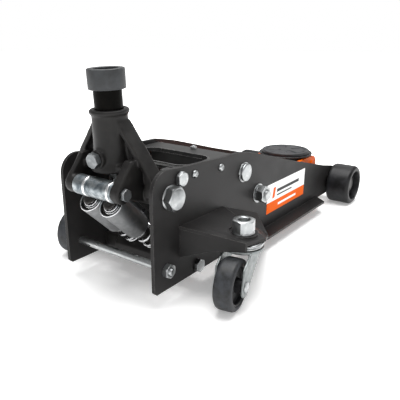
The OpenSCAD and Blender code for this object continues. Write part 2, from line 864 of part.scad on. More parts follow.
module cheek_outline() {
    union() {
        translate([arm_x, arm_z]) circle(18.5);
        translate([nose_x, nose_z]) circle(nose_end_r);
        polygon([[arm_x + 5.5, arm_z + 17.6], [arm_x - 4, arm_z - 18], [cross_x + 40, cross_z + 4.5],
            [nose_x - 60, nose_z - 22], [nose_x, nose_z - nose_end_r], [nose_x, nose_z + nose_end_r],
            [nose_x - 64, nose_z + nose_end_r], [kink_x, kink_z]]);
    }
}

lever_in = 8;
lever_out = 17;

module lift_arm() {
    color([0.95, 0.45, 0.1]) difference() {
        union() {
            both_sides() plate_y(-cheek_out, -cheek_in) cheek_outline();
            bar_y(arm_x, arm_z, 16, -inner_w + 0.7, inner_w - 0.7);
            both_sides() plate_y(-lever_out, -lever_in) union() {
                translate([pin_x, pin_z]) circle(12);
                polygon([[pin_x - 11, pin_z + 5], [pin_x + 11, pin_z - 5],
                    [arm_x + 14, arm_z - 4], [arm_x - 14, arm_z + 8]]);
            }
            plate_y(-cheek_in, cheek_in) polygon([[arm_x + 9, arm_z + 7], [arm_x + 12, arm_z + 12.5],
                [kink_x, kink_z - 1.5], [plate_end_x, 97], [plate_end_x, 92], [kink_x, kink_z - 6.5]]);
        }
        bar_y(arm_x, arm_z, arm_shaft_r + run, -100, 100);
        bar_y(pin_x, pin_z, arm_pin_r + run, -30, 30);
        bar_y(nose_x, nose_z, nose_pin_r + run, -100, 100);
    }
}

module arm_lever_pin() {
    color("silver") bar_y(pin_x, pin_z, arm_pin_r, -lever_out, lever_out);
}

module ram_rod() {
    color([0.8, 0.8, 0.82]) difference() {
        union() {
            bar_x(0, ram_z, ram_r, cyl_x0 + 7, pin_x - 20);
            translate([pin_x - 21, -7.4, ram_z - 14]) cube([34, 14.8, 28]);
        }
        translate([pin_x - 7.9, -8, ram_z - 10.5]) cube([15.8, 16, 21]);
        translate([pin_x - 9, -20, ram_z + 14]) cube([60, 40, 20]);
    }
}

module saddle_holder() {
    color([0.14, 0.14, 0.15]) difference() {
        union() {
            bar_y(nose_x, nose_z, 14, -cheek_in + gap, cheek_in - gap);
            plate_y(-20, 20) polygon([[nose_x + 14, nose_z], [nose_x + 4, nose_z + 7],
                [saddle_x - 17, nose_z + 6], [saddle_x - 17, nose_z - 18],
                [link_bx - 6, link_bz - 6], [link_bx + 7, link_bz - 3]]);
            bar_y(link_bx, link_bz, 8, -link_in + 1, link_in - 1);
            translate([saddle_x, 0, nose_z - 18]) cylinder(r = 17, h = 25);
        }
        bar_y(nose_x, nose_z, nose_pin_r + run, -60, 60);
        bar_y(link_bx, link_bz, link_pin_r + run, -60, 60);
        translate([saddle_x, 0, 0]) cylinder(r = saddle_pin_r + run, h = 200);
    }
}

module saddle_pin() {
    color("silver") {
        bar_y(nose_x, nose_z, nose_pin_r, -cheek_out, cheek_out);
        both_sides() bar_y(nose_x, nose_z, 10.5, -cheek_out - 3, -cheek_out);
    }
}

module link_pin() {
    color("silver") {
        bar_y(link_bx, link_bz, link_pin_r, -link_out - 1, link_out + 1);
        both_sides() bar_y(link_bx, link_bz, 7, -link_out - 3, -link_out - gap);
    }
}

module link_rods() {
    length = sqrt((link_bx - link_ax) ^ 2 + (link_bz - link_az) ^ 2);
    fall = atan2(link_az - link_bz, link_bx - link_ax);
    mid = (link_in + link_out) / 2;
    color([0.3, 0.3, 0.32]) both_sides() difference() {
        union() {
            bar_y(link_ax, link_az, 8, -link_out, -link_in);
            bar_y(link_bx, link_bz, 8, -link_out, -link_in);
            translate([link_ax, -mid, link_az]) rotate([0, 90 + fall, 0]) translate([0, 0, 5])
                cylinder(r = 3.9, h = length - 10);
        }
        bar_y(link_ax, link_az, link_pin_r + run, -60, 0);
        bar_y(link_bx, link_bz, link_pin_r + run, -60, 0);
    }
}

// Underside of the saddle's rim, the underside of its cone, and the rubber pad's diameter
dish_z = saddle_top - 8.3;
cone_z = nose_z + 14.6;
pad_d = saddle_d - 12;

module saddle_cup() {
    color([0.12, 0.12, 0.13]) translate([saddle_x, 0, 0]) {
        translate([0, 0, dish_z]) cylinder(d = saddle_d, h = 3);
        translate([0, 0, cone_z]) cylinder(r1 = 30, r2 = 46, h = dish_z - cone_z);
        translate([0, 0, nose_z + 7.6]) cylinder(r = 10, h = 8);
        translate([0, 0, nose_z - 22]) cylinder(r = saddle_pin_r, h = 34);
    }
}

module saddle_pad() {
    color([0.1, 0.1, 0.1]) translate([saddle_x, 0, 0])
        translate([0, 0, dish_z + 3]) cylinder(d = pad_d, h = saddle_top - dish_z - 3);
}

placed() side(-1) side_plate();  // side_plate_right
placed() side(1) side_plate();  // side_plate_left
placed() side(-1) caster_bracket(0);  // caster_bracket_right
placed() side(1) caster_bracket(skirt_rise_left);  // caster_bracket_left
placed() top_cover();
placed() cover_screws();
placed() tie_rod();
placed() tie_rod_nuts();
placed() frame_bolts();
placed() handle_bolts();
placed() handle_spacers();
placed() pump_block();
placed() pump_barrels();
placed() ram_cylinder();
placed() filler_plug();
placed() arm_shaft();
placed() arm_shaft_collars();
placed() cross_shaft();
placed() cross_shaft_nuts();
placed() front_axle();
placed() front_spreader();
placed() axle_rings();
placed() link_anchors();
placed() side_labels();
placed() pump_spring(-1);  // pump_spring_right
placed() pump_spring(1);  // pump_spring_left
placed() caster_stems();
placed() caster_nuts();
placed() caster_races();
placed() swivelled(-1) caster_fork();  // caster_fork_right
placed() swivelled(1) caster_fork();  // caster_fork_left
placed() swivelled(-1) caster_axle();  // caster_axle_right
placed() swivelled(1) caster_axle();  // caster_axle_left
placed() swivelled(-1) caster_hub();  // caster_hub_right
placed() swivelled(1) caster_hub();  // caster_hub_left
placed() swivelled(-1) caster_tyre();  // caster_tyre_right
placed() swivelled(1) caster_tyre();  // caster_tyre_left
placed() side(-1) front_wheel();  // front_wheel_right
placed() side(1) front_wheel();  // front_wheel_left
placed() handle_yoke();
placed() lever_pin();
placed() socket_bolt();
placed() lever_roller();
placed() handle_tube();
placed() handle_sleeve();
placed() release_driver();
placed() release_spindle();
placed() pump_cup(-1);  // pump_cup_right
placed() pump_cup(1);  // pump_cup_left
placed() pump_plunger(-1);  // pump_plunger_right
placed() pump_plunger(1);  // pump_plunger_left
placed() lift_arm();
placed() arm_lever_pin();
placed() ram_rod();
placed() saddle_holder();
placed() saddle_pin();
placed() link_pin();
placed() link_rods();
placed() saddle_cup();
placed() saddle_pad();
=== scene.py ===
import json
import math

import bpy
from mathutils import Matrix, Vector


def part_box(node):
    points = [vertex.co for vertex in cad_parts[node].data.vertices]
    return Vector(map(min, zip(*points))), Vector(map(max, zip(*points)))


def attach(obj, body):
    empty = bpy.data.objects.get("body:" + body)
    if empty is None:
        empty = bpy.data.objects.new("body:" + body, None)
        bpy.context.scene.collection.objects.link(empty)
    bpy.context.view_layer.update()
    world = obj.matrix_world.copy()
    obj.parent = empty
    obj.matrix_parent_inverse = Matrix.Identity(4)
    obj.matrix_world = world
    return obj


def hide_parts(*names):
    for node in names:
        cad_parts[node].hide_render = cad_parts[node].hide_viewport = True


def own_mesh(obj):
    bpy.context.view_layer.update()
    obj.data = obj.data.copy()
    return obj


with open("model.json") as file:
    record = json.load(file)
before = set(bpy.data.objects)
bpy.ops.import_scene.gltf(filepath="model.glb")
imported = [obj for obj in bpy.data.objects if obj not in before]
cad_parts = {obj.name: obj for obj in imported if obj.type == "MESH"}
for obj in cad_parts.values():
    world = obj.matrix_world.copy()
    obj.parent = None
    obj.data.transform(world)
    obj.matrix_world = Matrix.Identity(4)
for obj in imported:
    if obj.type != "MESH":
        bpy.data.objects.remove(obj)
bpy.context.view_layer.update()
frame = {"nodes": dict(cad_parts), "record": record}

# ---- Sizes, in millimetres from the drawing's datum: the plates' rear edge on the floor ----

MM = 0.001
DATUM_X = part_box("side_plate_right")[0].x
JOINTS = {j["name"]: j for j in frame["record"]["behaviour"]["joints"]}


def joint_at(name):
    """X, distance from the centre plane and Z of a joint, in millimetres."""
    x, y, z = JOINTS[name]["pos_m"]
    return (x - DATUM_X) / MM, abs(y) / MM, z / MM


def box_at(node):
    """Lowest and highest corner of a CAD node, in millimetres."""
    low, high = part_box(node)
    shift = Vector((DATUM_X, 0, 0))
    return (low - shift) / MM, (high - shift) / MM


def middle(node):
    """X and Z of a CAD node's middle."""
    low, high = box_at(node)
    return (low.x + high.x) / 2, (low.z + high.z) / 2


def joint_xz(name):
    x, _, z = joint_at(name)
    return x, z


# Side plates, and what is bolted to them
PLATE = 5.0
INNER_W = -box_at("side_plate_right")[1].y
HALF_W = INNER_W + PLATE
PIVOT = joint_xz("handle_pump")
ARM_PIVOT = joint_xz("arm_lift")
CROSS_SHAFT = middle("cross_shaft")
TIE_ROD = middle("tie_rod")
FRAME_BOLTS = ((51.6, 161.0), (88.5, 30.0))
COVER_SCREWS = ((82.0, 160.0), (142.0, 156.0))
COVER_BOLT_X = 189.0
COVER_Z = 162.5
M10_FLATS = 17.0

# Lever roller between the yoke's lugs, and the lugs' outer faces
ROLLER = joint_xz("roller_spin")
ROLLER_R = 13.0
ROLLER_Y = (box_at("lever_roller")[0].y, box_at("lever_roller")[1].y)
PIN_HEAD = 5.0
LUG_OUT = (-box_at("lever_pin")[0].y - PIN_HEAD, box_at("lever_pin")[1].y - PIN_HEAD)

# Handle and its socket: the set bolt's height up the socket, and the sleeve's ends off the floor
SOCKET_X = joint_at("handle_turn")[0]
HANDLE_UP = Vector(JOINTS["handle_turn"]["axis"]).normalized()
SOCKET_BOLT_UP = 44.0
SLEEVE_LOW = 267.0
SLEEVE_TOP = 291.0

# Pumps: heights run down the pump's axis from the cup's rim
PUMP_DOWN = Vector(JOINTS["pump_right_slide"]["axis"]).normalized()
PUMP_Y = 18.0
PUMP_RIM = (-5.0, 129.5)
CUP_LEN = 63.0
CUP_OUT = 17.5
CUP_IN = 15.4
SPRING_FROM = 11.0
SPRING_TO = 104.3
TIP_UP = 5.2

# Casters
STEM = joint_at("caster_right_swivel")[:2]
SHELF_TOP = box_at("caster_nuts")[0].z
RACE_TOP = box_at("caster_races")[1].z
ROLL = joint_at("caster_right_roll")
ROLL_AXIS = JOINTS["caster_right_roll"]["axis"]
CASTER_TURN = math.atan2(-ROLL_AXIS[0], ROLL_AXIS[1])
TRAIL = math.hypot(ROLL[0] - STEM[0], ROLL[1] - STEM[1])
CASTER_R = ROLL[2]
CASTER_W = 25.0
FORK_OUT = 19.5
FORK_IN = 16.5

# Front wheels
FRONT = joint_xz("front_right_roll")
FRONT_IN = -box_at("front_wheel_right")[1].y
FRONT_OUT = -box_at("front_wheel_right")[0].y

# Saddle
SADDLE_X = joint_at("saddle_spin")[0]
SADDLE_TOP = box_at("saddle_pad")[1].z
RIM_R = box_at("saddle_cup")[1].x - SADDLE_X
RIM_Z = box_at("saddle_cup")[1].z - 3.0
PAD_R = box_at("saddle_pad")[1].x - SADDLE_X
NOSE_Z = joint_at("holder_level")[2]


def at(x, y, z):
    """A point given in millimetres from the drawing's datum, in the frame's metres."""
    return Vector((DATUM_X + x * MM, y * MM, z * MM))


def frame_matrix(origin, axis, turn=0.0):
    """A local frame with +Z along axis, turned about it."""
    w = axis.normalized()
    u = Vector((1, 0, 0)) if abs(w.x) < 0.9 else Vector((0, 0, 1))
    u = (u - w * u.dot(w)).normalized()
    v = w.cross(u)
    rot = Matrix((u, v, w)).transposed().to_4x4()
    return Matrix.Translation(origin) @ rot @ Matrix.Rotation(turn, 4, "Z")


# ---- Materials ----

class Tree:
    """Short calls to add and link shader nodes."""

    def __init__(self, name):
        self.material = bpy.data.materials.new(name)
        self.material.use_nodes = True
        self.nodes = self.material.node_tree.nodes
        self.links = self.material.node_tree.links
        self.shader = self.nodes["Principled BSDF"]
        self.place = self.add("ShaderNodeTexCoord").outputs["Object"]

    def add(self, kind, inputs=None, **settings):
        node = self.nodes.new(kind)
        for key, value in settings.items():
            setattr(node, key, value)
        for key, value in (inputs or {}).items():
            self.put(node.inputs[key], value)
        return node

    def put(self, socket, value):
        if isinstance(value, bpy.types.NodeSocket):
            self.links.new(value, socket)
        else:
            socket.default_value = value

    def noise(self, scale, detail=4.0, roughness=0.55, distortion=0.0):
        return self.add("ShaderNodeTexNoise", {"Vector": self.place, "Scale": scale, "Detail": detail,
                        "Roughness": roughness, "Distortion": distortion}).outputs["Fac"]

    def spread(self, value, low, high, to_low=0.0, to_high=1.0):
        return self.add("ShaderNodeMapRange", {"Value": value, "From Min": low, "From Max": high,
                        "To Min": to_low, "To Max": to_high}).outputs["Result"]

    def mix(self, factor, a, b):
        node = self.add("ShaderNodeMix", data_type="RGBA")
        self.put(node.inputs[0], factor)
        self.put(node.inputs[6], a)
        self.put(node.inputs[7], b)
        return node.outputs[2]

    def sum(self, kind, a, b):
        node = self.add("ShaderNodeMath", operation=kind, use_clamp=kind != "ADD")
        self.put(node.inputs[0], a)
        self.put(node.inputs[1], b)
        return node.outputs[0]

    def rounded(self, radius):
        return self.add("ShaderNodeBevel", {"Radius": radius}, samples=6).outputs["Normal"]

    def edges(self, normal, gain):
        """Near 1 along outer and inner edges, broken up so that it is uneven: worn edges, and on some
        finishes a painted edge highlight.
        """
        flat = self.add("ShaderNodeNewGeometry").outputs["Normal"]
        dot = self.add("ShaderNodeVectorMath", {0: normal, 1: flat}, operation="DOT_PRODUCT")
        away = self.sum("SUBTRACT", 1.0, dot.outputs["Value"])
        uneven = self.spread(self.noise(260.0, 6.0, 0.7), 0.35, 0.65)
        return self.sum("MULTIPLY", self.sum("MULTIPLY", away, gain), uneven)

    def bump(self, height, strength, distance, normal):
        return self.add("ShaderNodeBump", {"Height": height, "Strength": strength, "Distance": distance,
                        "Normal": normal}).outputs["Normal"]


def rgb(r, g, b):
    """Linear colour from the 0 to 255 values that a screen shows."""
    linear = [((c / 255 + 0.055) / 1.055) ** 2.4 if c > 10 else c / 255 / 12.92 for c in (r, g, b)]
    return (*linear, 1.0)


def finish(name, main, other, edge, metallic=0.0, rough=(0.4, 0.5), patch=24.0, grain=900.0, depth=0.00006,
           strength=0.25, radius=0.0006, edge_wear_and_highlight=3.0, mottle=(0.35, 0.65), specular=0.5):
    """Paint, plastic or rubber: two mottled colours, a lighter edge colour for wear and, on some finishes, a
    painted highlight, uneven gloss and a fine grain.
    """
    t = Tree(name)
    large = t.noise(patch, 5.0, 0.6)
    fine = t.noise(grain, 3.0, 0.6)
    normal = t.rounded(radius)
    colour = t.mix(t.spread(large, *mottle), main, other)
    # Edge colour: wear, and on the plates and the cover also a painted highlight along the edges.
    colour = t.mix(t.edges(normal, edge_wear_and_highlight), colour, edge)
    t.put(t.shader.inputs["Base Color"], colour)
    t.put(t.shader.inputs["Metallic"], metallic)
    unevenness = t.sum("ADD", large, t.spread(fine, 0, 1, -0.1, 0.1))
    t.put(t.shader.inputs["Roughness"], t.spread(unevenness, 0.3, 0.7, *rough))
    t.put(t.shader.inputs["Specular IOR Level"], specular)
    t.put(t.shader.inputs["Normal"], t.bump(fine, strength, depth, normal))
    return t.material


def zinc(name, main, other, edge, rough, cell=170.0, metallic=1.0):
    """Plated steel: cloudy patches, small spangles and fine scratches."""
    t = Tree(name)
    cloud = t.noise(90.0, 6.0, 0.65, 0.6)
    cells = t.add("ShaderNodeTexVoronoi", {"Vector": t.place, "Scale": cell, "Randomness": 1.0})
    spangle = cells.outputs["Distance"]
    scratch = t.noise(1500.0, 2.0, 0.5, 1.5)
    patches = t.sum("ADD", t.spread(cloud, 0.38, 0.62, 0.0, 0.7), t.spread(spangle, 0.1, 0.8, 0.0, 0.4))
    normal = t.rounded(0.0006)
    colour = t.mix(patches, main, other)
    colour = t.mix(t.edges(normal, 5.0), colour, edge)
    t.put(t.shader.inputs["Base Color"], colour)
    t.put(t.shader.inputs["Metallic"], metallic)
    t.put(t.shader.inputs["Roughness"], t.spread(patches, 0.0, 1.0, *rough))
    t.put(t.shader.inputs["Normal"], t.bump(scratch, 0.1, 0.00005, normal))
    return t.material


# Plates and brackets: the light grey edge colour is edge wear plus a painted highlight along the edges.
POWDER = finish("powder_coat", rgb(28, 27, 27), rgb(36, 35, 35), rgb(112, 110, 108), rough=(0.4, 0.54),
                grain=1400.0, strength=0.2, edge_wear_and_highlight=5.0, radius=0.0009, specular=0.2)
# Top cover: the near-white edge colour, strongest along the opening's rim, is mostly a painted highlight,
# with some edge wear.
COVER = finish("cover_coat", rgb(40, 40, 40), rgb(50, 50, 49), rgb(176, 176, 174), rough=(0.34, 0.48),
               grain=1400.0, strength=0.2, edge_wear_and_highlight=12.0, radius=0.0009, specular=0.3)
CASTING = finish("painted_casting", rgb(22, 21, 21), rgb(33, 32, 31), rgb(112, 108, 104), rough=(0.34, 0.5),
                 patch=40.0, grain=520.0, depth=0.0002, strength=0.35, radius=0.0014, edge_wear_and_highlight=5.0, specular=0.2)
TUBE = finish("tube_enamel", rgb(6, 6, 5), rgb(14, 13, 11), rgb(46, 43, 38), rough=(0.32, 0.46),
              patch=60.0, grain=700.0, strength=0.12, specular=0.03)
SLEEVE = finish("sleeve_moulding", rgb(42, 43, 44), rgb(58, 60, 62), rgb(92, 94, 96), rough=(0.4, 0.55),
                patch=55.0, grain=1300.0, strength=0.3, specular=0.3)
ORANGE = finish("orange_enamel", rgb(236, 102, 4), rgb(226, 92, 2), rgb(240, 130, 30), rough=(0.4, 0.52),
                patch=30.0, grain=800.0, strength=0.12, edge_wear_and_highlight=1.5, specular=0.08)
ZINC = zinc("zinc_plate", (0.44, 0.45, 0.45, 1), (0.34, 0.355, 0.36, 1), (0.9, 0.91, 0.92, 1),
            rough=(0.24, 0.38))
DULL_ZINC = zinc("dull_zinc", (0.24, 0.25, 0.255, 1), (0.15, 0.16, 0.165, 1), (0.8, 0.81, 0.82, 1),
                 rough=(0.34, 0.5))
ROLLER_STEEL = zinc("roller_plate", (0.44, 0.47, 0.48, 1), (0.10, 0.12, 0.135, 1), (0.8, 0.82, 0.83, 1),
                    rough=(0.22, 0.45), cell=130.0)
BRIGHT = zinc("bright_steel", (0.85, 0.86, 0.87, 1), (0.7, 0.71, 0.72, 1), (0.95, 0.95, 0.95, 1),
              rough=(0.14, 0.26))
FORK = zinc("fork_zinc", (0.24, 0.255, 0.255, 1), (0.17, 0.185, 0.185, 1), (0.8, 0.82, 0.82, 1),
            rough=(0.36, 0.52), cell=90.0, metallic=0.8)
CUP = zinc("satin_cup", (0.27, 0.275, 0.275, 1), (0.2, 0.205, 0.21, 1), (0.9, 0.9, 0.9, 1),
           rough=(0.34, 0.5), cell=60.0, metallic=0.85)
DARK_STEEL = finish("oiled_steel", rgb(54, 52, 50), rgb(34, 33, 32), rgb(140, 138, 134), rough=(0.3, 0.5),
                    metallic=0.7, patch=120.0, edge_wear_and_highlight=6.0)
TYRE = finish("tyre_rubber", rgb(18, 19, 20), rgb(50, 52, 56), rgb(112, 115, 118), rough=(0.42, 0.66),
              patch=85.0, depth=0.0002, strength=0.5, edge_wear_and_highlight=4.0, mottle=(0.36, 0.64), specular=0.35)
NYLON = finish("moulded_nylon", rgb(10, 10, 11), rgb(34, 34, 36), rgb(84, 84, 88), rough=(0.34, 0.5),
               patch=60.0, grain=1000.0, depth=0.00015, strength=0.35, edge_wear_and_highlight=4.0, specular=0.22)
PAD = finish("saddle_rubber", rgb(34, 35, 37), rgb(50, 51, 54), rgb(128, 129, 132), rough=(0.46, 0.6),
             patch=90.0, grain=1100.0, depth=0.00015, strength=0.4, edge_wear_and_highlight=6.0, specular=0.4)
BLACK_IRON = finish("saddle_iron", rgb(16, 16, 17), rgb(28, 28, 29), rgb(150, 150, 150), rough=(0.35, 0.5),
                    patch=70.0, grain=600.0, strength=0.3, edge_wear_and_highlight=9.0, specular=0.25)
PAPER = finish("label_white", rgb(250, 250, 250), rgb(240, 240, 239), rgb(255, 255, 255), rough=(0.3, 0.4),
               strength=0.05, edge_wear_and_highlight=0.5)
BAND = finish("label_orange", rgb(234, 98, 6), rgb(228, 92, 4), rgb(248, 150, 60), rough=(0.45, 0.55),
              strength=0.05, edge_wear_and_highlight=0.5, specular=0.08)
INK = finish("label_ink", rgb(34, 34, 36), rgb(44, 44, 46), rgb(60, 60, 60), rough=(0.35, 0.45),
             strength=0.05, edge_wear_and_highlight=0.5, specular=0.2)


# ---- Mesh work ----

STEPS = 96  # points in one ring
BLUNT = 1.138  # corner radius of a hexagon, as a share of half its flats
CHAMFER = math.tan(math.radians(28))
SIDES = (("right", -1), ("left", 1))
FLAT_ON_TOP = Matrix.Rotation(math.radians(30), 4, "Z")


def around(matrix, radius, angle, height):
    """A point given in millimetres about a local frame's axis."""
    return matrix @ (Vector((radius * math.cos(angle), radius * math.sin(angle), height)) * MM)


def raised(matrix, height):
    """The local frame moved along its own axis."""
    return matrix @ Matrix.Translation((0, 0, height * MM))


def new_object(name, verts, faces, materials, marks=None):
    """A mesh object; marks give each face its material."""
    mesh = bpy.data.meshes.new(name)
    mesh.from_pydata([tuple(v) for v in verts], [], faces)
    ob = bpy.data.objects.new(name, mesh)
    bpy.context.collection.objects.link(ob)
    for item in materials:
        mesh.materials.append(item)
    if marks:
        mesh.polygons.foreach_set("material_index", marks)
    return ob


def hexagon(flats):
    """Radius of a hexagon with slightly blunt corners at each step round it."""
    out = []
    for i in range(STEPS):
        a = math.radians((i * 360 / STEPS) % 60 - 30)
        out.append(min(flats / 2 / math.cos(a), flats / 2 * BLUNT))
    return out


class Shape:
    """One piece, put together from lofted parts that are given in millimetres."""

    def __init__(self):
        self.verts = []
        self.faces = []
        self.marks = []

    def loft(self, rings, matrix, loop=False, mark=0):
        """Rings are (radii, heights): numbers, or lists with one value per step. Radius 0 closes an end."""
        ids = []
        for radii, heights in rings:
            if radii == 0:
                self.verts.append(matrix @ (Vector((0, 0, heights)) * MM))
                ids.append([len(self.verts) - 1])
                continue
            first = len(self.verts)
            for i in range(STEPS):
                a = 2 * math.pi * i / STEPS
                r = radii[i] if isinstance(radii, list) else radii
                h = heights[i] if isinstance(heights, list) else heights
                self.verts.append(around(matrix, r, a, h))
            ids.append(list(range(first, first + STEPS)))
        pairs = list(zip(ids, ids[1:]))
        if loop:
            pairs.append((ids[-1], ids[0]))
        for low, high in pairs:
            for i in range(STEPS):
                k = (i + 1) % STEPS
                if len(low) == 1:
                    face = (low[0], high[i], high[k])
                elif len(high) == 1:
                    face = (low[k], low[i], high[0])
                else:
                    face = (low[k], low[i], high[i], high[k])
                self.faces.append(face)
                self.marks.append(mark)

    def hex_head(self, flats, height, matrix, dish=0.5, flange=0.0):
        """Bolt head: bearing face at 0, chamfered top, stamped dish."""
        h = hexagon(flats)
        inner = flats / 2 * 0.955
        top = [height - (r - inner) * CHAMFER for r in h]
        rings = [(0, 0), (flats * 0.47, 0), (flats * 0.47, 0.4)]
        if flange:
            rings = [(0, 0), (flange, 0), (flange, 0.6), (flange - 0.5, 1.0), (flats * 0.5, 1.2)]
        base = rings[-1][1]
        rings += [([r - 0.3 for r in h], base), (h, base + 0.35), (h, top), (inner, height),
                  (inner - 0.8, height - 0.1), (inner - 2.2, height - dish), (0, height - dish)]
        self.loft(rings, matrix)

    def hex_nut(self, flats, height, hole, matrix, flange=0.0):
        """Nut with both faces chamfered, or a flange under it."""
        h = hexagon(flats)
        inner = flats / 2 * 0.94
        low = [(r - inner) * CHAMFER for r in h]
        top = [height - v for v in low]
        foot = [(inner, 0), (h, low)]
        if flange:
            foot = [(flange, 0), (flange + 0.2, 0.5), (flange - 0.2, 1.3), ([r + 0.2 for r in h], 2.2),
                    (h, 3.0)]
        self.loft([(hole, 0.8), (hole + 0.8, 0), *foot, (h, top), (inner, height), (hole + 1.4, height),
                   (hole, height - 1.4)], matrix, loop=True)

    def thread(self, radius, low, high, pitch, matrix):
        """Threaded stud between two heights, chamfered at the top."""
        deep = radius - 0.55 * pitch
        rings = [(0, low), (deep, low)]
        z = low
        while z + pitch < high - pitch * 0.6:
            rings += [(radius, z + pitch * 0.4), (radius, z + pitch * 0.6), (deep, z + pitch)]
            z += pitch
        rings += [(radius - 0.2, z + pitch * 0.4), (deep - 0.2, high - 0.2), (deep - 0.8, high), (0, high)]
        self.loft(rings, matrix)

    def rod(self, radius, low, high, matrix, ease=0.5):
        self.loft([(0, low), (radius - ease, low), (radius, low + ease), (radius, high - ease),
                   (radius - ease, high), (0, high)], matrix)

    def ring(self, inner, outer, low, high, matrix, ease=0.3):
        self.loft([(inner, low), (outer - ease, low), (outer, low + ease), (outer, high - ease),
                   (outer - ease, high), (inner, high)], matrix, loop=True)

    def make(self, name, body, node, finishes, slot, sharp=32):
        settle(new_object(name, self.verts, self.faces, finishes, self.marks), body, node, sharp)


def settle(ob, body, node, sharp):
    """Outward normals, smooth shading with sharp corners, a parent on its body, and the CAD node it stands
    for hidden.
    """
    bpy.context.view_layer.objects.active = ob
    ob.select_set(True)
    bpy.ops.object.mode_set(mode="EDIT")
    bpy.ops.mesh.select_all(action="SELECT")
    bpy.ops.mesh.normals_make_consistent(inside=False)
    bpy.ops.object.mode_set(mode="OBJECT")
    ob.select_set(False)
    ob.data.polygons.foreach_set("use_smooth", [True] * len(ob.data.polygons))
    ob.data.set_sharp_from_angle(angle=math.radians(sharp))
    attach(ob, body)
    if node:
        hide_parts(node)


def softened(node, name, body, material, voxel, passes):
    """A CAD node remade as a fine mesh with its corners run together, as on a casting or pressing.
    The voxel size is in millimetres."""
    ob = bpy.data.objects.new(name, frame["nodes"][node].data.copy())
    bpy.context.collection.objects.link(ob)
    ob.data.materials.clear()
    weld = ob.modifiers.new("weld", "WELD")
    weld.merge_threshold = 0.00002
    remesh = ob.modifiers.new("remesh", "REMESH")
    remesh.mode = "VOXEL"
    remesh.voxel_size = voxel * MM
    smooth = ob.modifiers.new("smooth", "SMOOTH")
    smooth.factor = 0.5
    smooth.iterations = passes
    mesh = bpy.data.meshes.new_from_object(ob.evaluated_get(bpy.context.evaluated_depsgraph_get()))
    ob.modifiers.clear()
    ob.data = mesh
    mesh.name = name
    mesh.materials.clear()
    mesh.materials.append(material)
    settle(ob, body, node, 180)


def out_y(x, z, side, y):
    """Frame on a side face: +Z points away from the centre plane, and hexagons have a corner on top."""
    return frame_matrix(at(x, side * y, z), Vector((0, side, 0)), math.radians(30))


# ---- Camera, light, floor ----

def camera():
    """The photo's camera, solved from the plates' outline, the floor contacts and the round parts."""
    cam = bpy.data.cameras.new("camera")
    cam.lens = 43.70
    cam.sensor_width = 36.0
    cam.shift_x = 0.02495
    cam.shift_y = 0.0093
    ob = bpy.data.objects.new("camera", cam)
    bpy.context.collection.objects.link(ob)
    forward = Vector((0.7523, 0.5718, -0.3273)).normalized()
    right = Vector((0.6051, -0.7962, 0.0)).normalized()
    up = right.cross(forward)
    rot = Matrix((right, up, -forward)).transposed().to_4x4()
    ob.matrix_world = Matrix.Translation(at(-396.7, -438.3, 326.67)) @ rot
    bpy.context.scene.camera = ob


def area_light(name, place, target, size, energy):
    light = bpy.data.lights.new(name, "AREA")
    light.energy = energy
    light.size = size
    ob = bpy.data.objects.new(name, light)
    bpy.context.collection.objects.link(ob)
    ob.location = place
    ob.rotation_euler = (Vector(target) - Vector(place)).to_track_quat("-Z", "Y").to_euler()


def studio():
    """White up to just over the horizon, grey above it for the zinc to mirror, and three soft lights."""
    world = bpy.data.worlds.new("studio")
    bpy.context.scene.world = world
    world.use_nodes = True
    nodes = world.node_tree.nodes
    links = world.node_tree.links
    place = nodes.new("ShaderNodeTexCoord")
    split = nodes.new("ShaderNodeSeparateXYZ")
    ramp = nodes.new("ShaderNodeValToRGB")
    links.new(place.outputs["Generated"], split.inputs[0])
    links.new(split.outputs["Z"], ramp.inputs["Fac"])
    links.new(ramp.outputs["Color"], nodes["Background"].inputs["Color"])
    nodes["Background"].inputs["Strength"].default_value = 1.0
    bpy.context.scene.view_settings.view_transform = "Standard"
    stops = ramp.color_ramp.elements
    stops[0].position = 0.0
    stops[0].color = (1, 1, 1, 1)
    stops[1].position = 1.0
    stops[1].color = (0.6, 0.6, 0.61, 1)
    for position, value in ((0.13, 1.0), (0.21, 0.42), (0.42, 0.3), (0.62, 0.45)):
        stop = stops.new(position)
        stop.color = (value, value, value, 1)
    area_light("key", (0.0, 0.1, 1.7), (0, 0, 0.1), 1.5, 48)
    area_light("fill", (-1.5, -1.9, 0.9), (0, 0, 0.12), 2.4, 10)
    area_light("rim", (1.6, 0.3, 1.1), (0, 0, 0.1), 0.9, 3)


def floor():
    """Matt pale floor that glows: faintly near the jack, a painted light that lifts its shadow, and up to
    white further out, to run into the background.
    """
    t = Tree("pale_floor")
    shade = t.mix(t.spread(t.noise(6.0, 4.0), 0.3, 0.7), (0.93, 0.925, 0.92, 1), (0.95, 0.95, 0.945, 1))
    t.put(t.shader.inputs["Base Color"], shade)
    t.put(t.shader.inputs["Roughness"], 0.9)
    t.put(t.shader.inputs["Specular IOR Level"], 0.0)
    t.put(t.shader.inputs["Emission Color"], (1, 1, 1, 1))
    reach = t.add("ShaderNodeVectorMath", {0: t.place}, operation="LENGTH").outputs["Value"]
    # Painted light: the floor's own glow, weak near the jack to lighten its shadow, full white from 1 m out.
    t.put(t.shader.inputs["Emission Strength"], t.spread(reach, 0.4, 1.0, 0.26, 1.0))
    corners = [(-9, -9, 0), (9, -9, 0), (9, 9, 0), (-9, 9, 0)]
    new_object("floor", corners, [(0, 1, 2, 3)], [t.material])


# ---- Frame pieces ----

def frame_bolts():
    s = Shape()
    for _, side in SIDES:
        for x, z in FRAME_BOLTS:
            m = out_y(x, z, side, HALF_W)
            s.hex_head(M10_FLATS, 6.5, m)
            s.rod(5, -10, 1, m)
    s.make("frame_bolt_set", "frame", "frame_bolts", [ZINC], "zinc")


